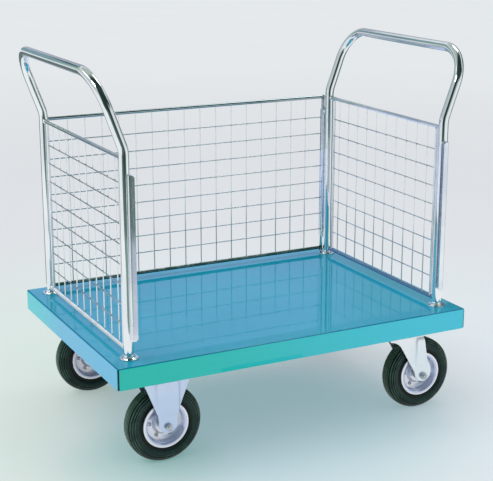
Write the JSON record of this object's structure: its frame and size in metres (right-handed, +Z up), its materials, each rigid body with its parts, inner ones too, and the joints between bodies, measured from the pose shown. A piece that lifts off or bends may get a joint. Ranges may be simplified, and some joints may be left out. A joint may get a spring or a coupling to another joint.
{
  "type": "flatbed platform truck",
  "caption": "Platform truck with a folded sheet deck, a mesh-filled tube push handle at each end, a lift-out mesh side, fixed castors at one end and swivel castors at the other.",
  "frame": {"origin": "on the floor below the middle of the deck", "axes": "+X along the truck from the fixed castors to the swivel castors, +Y from the open side to the panelled side, +Z up"},
  "size_m": [1.0492, 0.7, 0.9931],
  "materials": {
    "deck_paint": "glossy sky-blue paint",
    "frame_paint": "dark satin paint under the deck",
    "tube_chrome": "bright chrome plate on tube",
    "wire_chrome": "bright chrome plate on wire",
    "guide_chrome": "bright plate on folded sheet, with weld beads",
    "fork_zinc": "blue passivated zinc plate",
    "rim_zinc": "blue passivated zinc plate",
    "fastener_steel": "zinc-plated steel",
    "bearing_steel": "greased bare steel",
    "tyre_rubber": "moulded black rubber"
  },
  "bodies": {
    "platform": {"deck_tray": "deck_paint", "left_castor_bearer": "frame_paint", "right_castor_bearer": "frame_paint", "centre_stiffener": "frame_paint", "post_sockets": "frame_paint", "socket_screws": "fastener_steel", "castor_bolts": "fastener_steel", "castor_nuts": "fastener_steel", "post_collars": "tube_chrome", "left_handle_tube": "tube_chrome", "right_handle_tube": "tube_chrome", "left_end_frame": "wire_chrome", "right_end_frame": "wire_chrome", "left_end_mesh": "wire_chrome", "right_end_mesh": "wire_chrome", "front_left_panel_guide": "guide_chrome", "front_right_panel_guide": "guide_chrome", "rear_left_panel_guide": "guide_chrome", "rear_right_panel_guide": "guide_chrome", "left_front_fork": "fork_zinc", "left_rear_fork": "fork_zinc", "right_front_top_plate": "fork_zinc", "right_rear_top_plate": "fork_zinc", "left_axle_bolts": "fastener_steel", "left_axle_nuts": "fastener_steel", "right_front_kingpin": "bearing_steel", "right_rear_kingpin": "bearing_steel", "right_front_ball_race": "bearing_steel", "right_rear_ball_race": "bearing_steel", "left_axle_sleeves": "bearing_steel"},
    "side_panel": {"side_panel_frame": "wire_chrome", "side_panel_mesh": "wire_chrome"},
    "left_front_wheel": {"left_front_tyre": "tyre_rubber", "left_front_outer_rim": "rim_zinc", "left_front_inner_rim": "rim_zinc", "left_front_rim_rivets": "fastener_steel", "left_front_roller_bearing": "bearing_steel"},
    "left_rear_wheel": {"left_rear_tyre": "tyre_rubber", "left_rear_outer_rim": "rim_zinc", "left_rear_inner_rim": "rim_zinc", "left_rear_rim_rivets": "fastener_steel", "left_rear_roller_bearing": "bearing_steel"},
    "right_front_wheel": {"right_front_tyre": "tyre_rubber", "right_front_outer_rim": "rim_zinc", "right_front_inner_rim": "rim_zinc", "right_front_rim_rivets": "fastener_steel", "right_front_roller_bearing": "bearing_steel"},
    "right_rear_wheel": {"right_rear_tyre": "tyre_rubber", "right_rear_outer_rim": "rim_zinc", "right_rear_inner_rim": "rim_zinc", "right_rear_rim_rivets": "fastener_steel", "right_rear_roller_bearing": "bearing_steel"},
    "right_front_swivel": {"right_front_fork": "fork_zinc", "right_front_axle_bolt": "fastener_steel", "right_front_axle_nut": "fastener_steel", "right_front_axle_sleeve": "bearing_steel"},
    "right_rear_swivel": {"right_rear_fork": "fork_zinc", "right_rear_axle_bolt": "fastener_steel", "right_rear_axle_nut": "fastener_steel", "right_rear_axle_sleeve": "bearing_steel"}
  },
  "joints": [
    {"name": "side_panel_lift", "type": "slide", "parent": "platform", "child": "side_panel", "axis": [0, 0, 1], "range_m": [0, 0.45]},
    {"name": "left_front_roll", "type": "hinge", "parent": "platform", "child": "left_front_wheel", "pos_m": [-0.35, -0.259, 0.1], "axis": [0, 1, 0], "continuous": true},
    {"name": "left_rear_roll", "type": "hinge", "parent": "platform", "child": "left_rear_wheel", "pos_m": [-0.35, 0.259, 0.1], "axis": [0, 1, 0], "continuous": true},
    {"name": "right_front_turn", "type": "hinge", "parent": "platform", "child": "right_front_swivel", "pos_m": [0.355, -0.259, 0.228], "axis": [0, 0, 1], "continuous": true},
    {"name": "right_front_roll", "type": "hinge", "parent": "right_front_swivel", "child": "right_front_wheel", "pos_m": [0.409, -0.259, 0.1], "axis": [0, 1, 0], "continuous": true},
    {"name": "right_rear_turn", "type": "hinge", "parent": "platform", "child": "right_rear_swivel", "pos_m": [0.355, 0.259, 0.228], "axis": [0, 0, 1], "continuous": true},
    {"name": "right_rear_roll", "type": "hinge", "parent": "right_rear_swivel", "child": "right_rear_wheel", "pos_m": [0.409, 0.259, 0.1], "axis": [0, 1, 0], "continuous": true}
  ]
}
